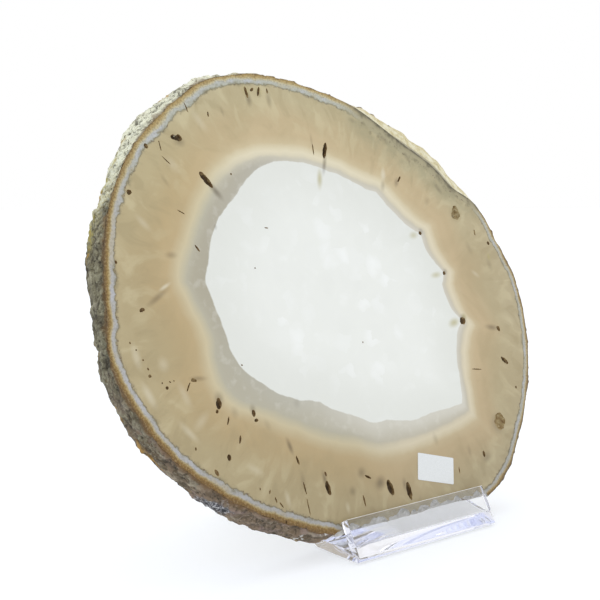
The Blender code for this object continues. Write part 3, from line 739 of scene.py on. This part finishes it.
# The sawn faces stay flat, and nothing leaves the solid's box.
for vertex, old in zip(stone.data.vertices, before):
    flat_y = (to_face @ old).y
    if min(abs(flat_y), abs(flat_y - THICKNESS * MM)) < SLACK * MM:
        moved = to_face @ vertex.co
        vertex.co = face_place @ Vector((moved.x, flat_y, moved.z))
    vertex.co = [min(max(c, low), high) for c, low, high in zip(vertex.co, *slice_box)]
relief = stone.data.attributes.new("relief", "FLOAT", "POINT")
heights = [(v.co - old).dot(n) / MM for v, old, n in zip(stone.data.vertices, before, normals)]
relief.data.foreach_set("value", heights)
stone.vertex_groups.clear()
bpy.ops.object.shade_smooth_by_angle(angle=math.radians(50))
for polygon in stone.data.polygons:
    if polygon.material_index in (FACE, BACK, FOOT):
        polygon.use_smooth = False
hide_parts("agate_slice")
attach(stone, "root")


# The stand. One clear plastic sheet, 3 mm thick, cut with polished edges and bent hot into a front
# lip, a ledge, a back rest and a rear leg.

STAND_WIDTH = 60.0
SHEET = 3.0
# The side of the sheet that faces the slice, from the lip's top round to the leg's foot, in mm.
SHEET_PATH = ((-1.69, 10.62), (-5.914, 3.0), (9.156, 3.0), (29.62, 69.96), (60.76, 0.0))
# The foot's outer corner before it is cut level, and how far it is then moved.
OUTER_FOOT = (58.03, -1.22)
FOOT_CUT = (-0.543, 1.22)
# The bends: place and radius in mm, angle inside the bend in degrees, and number of facets.
BENDS = (
    ((-5.914, 3.0), 0.6, 61, 6), ((-11.01, 0.0), 1.4, 61, 8), ((9.156, 3.0), 0.8, 107, 5),
    ((11.38, 0.0), 3.5, 107, 10), ((30.14, 61.41), 2.0, 41, 16), ((29.62, 69.96), 5.0, 41, 24),
)
# The lip's top edge: the way it faces, and the height in mm above which it lies.
LIP_TOP_FACING = Vector((0, 0.484, 0.875))
LIP_TOP_FROM = 8.5


def clear_plastic(name, clarity, smoothest, roughest):
    """Clear acrylic with the faintest lavender tint and hairline scuffs; made whiter and frosted at
    low clarity.
    """
    material, tree, shader = new_material(name)
    shader.inputs["Base Color"].default_value = (1, 1, 1, 1)
    shader.inputs["Transmission Weight"].default_value = clarity
    shader.inputs["IOR"].default_value = 1.49
    place = add(tree, "TexCoord").outputs["Object"]
    scuffs = noise(tree, place, 900.0, 3.0, 0.6)
    tree.links.new(fade(tree, scuffs, 0.55, 0.75, smoothest, roughest), shader.inputs["Roughness"])
    tint = add(tree, "VolumeAbsorption", {"Color": (0.80, 0.83, 1.0, 1), "Density": 9.0})
    tree.links.new(tint.outputs[0], tree.nodes["Material Output"].inputs["Volume"])
    return material


def select_line(thing, spot):
    """In edit mode, selects the vertices that lie at this (y, z) place in mm."""
    bpy.ops.mesh.select_mode(type="VERT")
    bpy.ops.mesh.select_all(action="DESELECT")
    bpy.ops.object.mode_set(mode="OBJECT")
    for vertex in thing.data.vertices:
        vertex.select = math.dist(vertex.co.yz / MM, spot) < 0.05
    bpy.ops.object.mode_set(mode="EDIT")


def round_bend(thing, spot, radius, inside_angle, segments):
    """Rounds the sharp bend that runs across the sheet at this (y, z) place."""
    select_line(thing, spot)
    bpy.ops.mesh.select_mode(type="EDGE")
    reach = radius / math.tan(math.radians(inside_angle / 2))
    bpy.ops.mesh.bevel(offset=reach * MM, offset_type="OFFSET", segments=segments, profile=0.5)


# A strip across the stand's width is drawn out along the sheet's path, then given its thickness.
bpy.ops.object.select_all(action="DESELECT")
bpy.ops.mesh.primitive_plane_add(size=1)
stand = bpy.context.object
stand.name = "clear_easel"
bpy.ops.object.mode_set(mode="EDIT")
(top_y, top_z), (foot_y, foot_z) = SHEET_PATH[:2]
bpy.ops.transform.resize(value=(STAND_WIDTH * MM, math.dist(*SHEET_PATH[:2]) * MM, 1))
bpy.ops.transform.rotate(value=-math.atan2(top_z - foot_z, top_y - foot_y), orient_axis="X",
                         center_override=(0, 0, 0))
bpy.ops.transform.translate(value=(0, (top_y + foot_y) / 2 * MM, (top_z + foot_z) / 2 * MM))
for (y, z), (next_y, next_z) in zip(SHEET_PATH[1:], SHEET_PATH[2:]):
    select_line(stand, (y, z))
    bpy.ops.mesh.extrude_region_move(
        TRANSFORM_OT_translate={"value": (0, (next_y - y) * MM, (next_z - z) * MM)})
bpy.ops.mesh.select_all(action="SELECT")
bpy.ops.mesh.normals_make_consistent(inside=False)
bpy.ops.object.mode_set(mode="OBJECT")
thicken = stand.modifiers.new("sheet", "SOLIDIFY")
thicken.thickness = SHEET * MM
thicken.offset = 1.0 if stand.data.polygons[1].normal.z < 0 else -1.0
thicken.use_even_offset = True
bpy.ops.object.modifier_apply(modifier="sheet")
# The foot is cut level, each bend is rounded inside and outside, and the sawn edges are polished.
bpy.ops.object.mode_set(mode="EDIT")
select_line(stand, OUTER_FOOT)
bpy.ops.transform.translate(value=(0, FOOT_CUT[0] * MM, FOOT_CUT[1] * MM))
for bend in BENDS:
    round_bend(stand, *bend)
bpy.ops.object.mode_set(mode="OBJECT")
polish = stand.modifiers.new("polished_edges", "BEVEL")
polish.width = 0.32 * MM
polish.segments = 3
polish.limit_method = "ANGLE"
polish.angle_limit = math.radians(40)
polish.use_clamp_overlap = False
bpy.ops.object.modifier_apply(modifier="polished_edges")
bpy.ops.object.shade_smooth_by_angle(angle=math.radians(25))
stand.data.materials.append(clear_plastic("clear_plastic", 1.0, 0.0, 0.05))
# The lip's top edge gets a whiter, frosted plastic: a painted highlight for the bright line along
# it.
stand.data.materials.append(clear_plastic("edge_highlight_plastic", 0.12, 0.45, 0.65))
for polygon in stand.data.polygons:
    if polygon.normal.dot(LIP_TOP_FACING) > 0.5 and polygon.center.y < 0:
        polygon.material_index = int(polygon.center.z > LIP_TOP_FROM * MM)
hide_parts("display_stand")
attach(stand, "root")


# The sticker. A small rectangle of white paper with rounded corners, left blank. It is stuck flat
# on the polished face, a little askew, near the foot.

STICKER_SIZE = (15.9 * MM, 8.7 * MM)
STICKER_PLACE = (23.4 * MM, -61.0 * MM)
STICKER_TURN = math.radians(-15.2)
PAPER = 0.12 * MM
CORNER = 0.35 * MM
# The sheet starts this far above the face, so that the two don't share a surface.
GLUE = 0.02 * MM


def sticker_paper():
    material, tree, shader = new_material("sticker_paper")
    place = add(tree, "TexCoord").outputs["Object"]
    fibres = noise(tree, place, 2600.0, 4.0, 0.7)
    colour = ramp(tree, fibres, ((0.3, tone(214, 217, 217)), (0.7, tone(226, 229, 230))))
    tree.links.new(colour, shader.inputs["Base Color"])
    shader.inputs["Roughness"].default_value = 0.75
    raise_grain(tree, shader, fibres, 0.3, 0.00003)
    return material


place = face_place @ Matrix.Translation((STICKER_PLACE[0], -GLUE, STICKER_PLACE[1]))
place = place @ Matrix.Rotation(-STICKER_TURN, 4, "Y") @ Matrix.Rotation(math.radians(90), 4, "X")
bpy.ops.object.select_all(action="DESELECT")
bpy.ops.mesh.primitive_plane_add(size=1)
sticker = bpy.context.object
sticker.name = "blank_sticker"
bpy.ops.transform.resize(value=(*STICKER_SIZE, 1))
bpy.ops.object.transform_apply(scale=True)
bpy.ops.object.mode_set(mode="EDIT")
bpy.ops.mesh.select_all(action="SELECT")
bpy.ops.mesh.bevel(offset=CORNER, segments=4, affect="VERTICES")
bpy.ops.object.mode_set(mode="OBJECT")
paper_body = sticker.modifiers.new("paper", "SOLIDIFY")
paper_body.thickness = PAPER
paper_body.offset = 1.0
bpy.ops.object.modifier_apply(modifier="paper")
sticker.matrix_world = place
bpy.ops.object.transform_apply(location=True, rotation=True, scale=True)
sticker.data.materials.append(sticker_paper())
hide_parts("paper_sticker")
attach(sticker, "root")


# The studio: a white floor under an even white sky, a soft light overhead, and the camera low on
# the left, looking a little down.

bpy.ops.object.select_all(action="DESELECT")
bpy.ops.mesh.primitive_plane_add(size=30, location=(0, 0, -0.3 * MM))
floor = bpy.context.object
floor.name = "floor"
material, tree, shader = new_material("white_floor")
shader.inputs["Base Color"].default_value = (0.42, 0.44, 0.475, 1)
shader.inputs["Roughness"].default_value = 0.8
shader.inputs["Emission Color"].default_value = (0.96, 0.98, 1.0, 1)
shader.inputs["Emission Strength"].default_value = 0.60
floor.data.materials.append(material)

world = bpy.data.worlds.new("white_sky")
world.use_nodes = True
world.node_tree.nodes["Background"].inputs["Color"].default_value = (1, 1, 1, 1)
world.node_tree.nodes["Background"].inputs["Strength"].default_value = 1.0
bpy.context.scene.world = world

overhead = bpy.data.objects.new("overhead_light", bpy.data.lights.new("overhead_light", "SUN"))
overhead.data.angle = math.radians(60)
overhead.data.energy = 0.45
overhead.rotation_euler = Vector((0.35, 0.25, 1.0)).to_track_quat("Z", "Y").to_euler()
bpy.context.collection.objects.link(overhead)

CAMERA_TURN = math.radians(38.5)
CAMERA_DIP = math.radians(5.4)
CAMERA_PLACE = Vector((-224.2, -226.2, 105.4)) * MM
# Enough light paths to pass all through the bent clear sheet.
LIGHT_BOUNCES = 64
camera = bpy.data.objects.new("camera", bpy.data.cameras.new("camera"))
camera.data.sensor_width = 36
camera.data.lens = 61.08
camera.location = CAMERA_PLACE
camera.rotation_euler = (math.radians(90) - CAMERA_DIP, 0, -CAMERA_TURN)
bpy.context.collection.objects.link(camera)
scene = bpy.context.scene
scene.camera = camera
scene.view_settings.view_transform = "Standard"
scene.view_settings.look = "None"
scene.cycles.max_bounces = LIGHT_BOUNCES
scene.cycles.glossy_bounces = LIGHT_BOUNCES
scene.cycles.transmission_bounces = LIGHT_BOUNCES
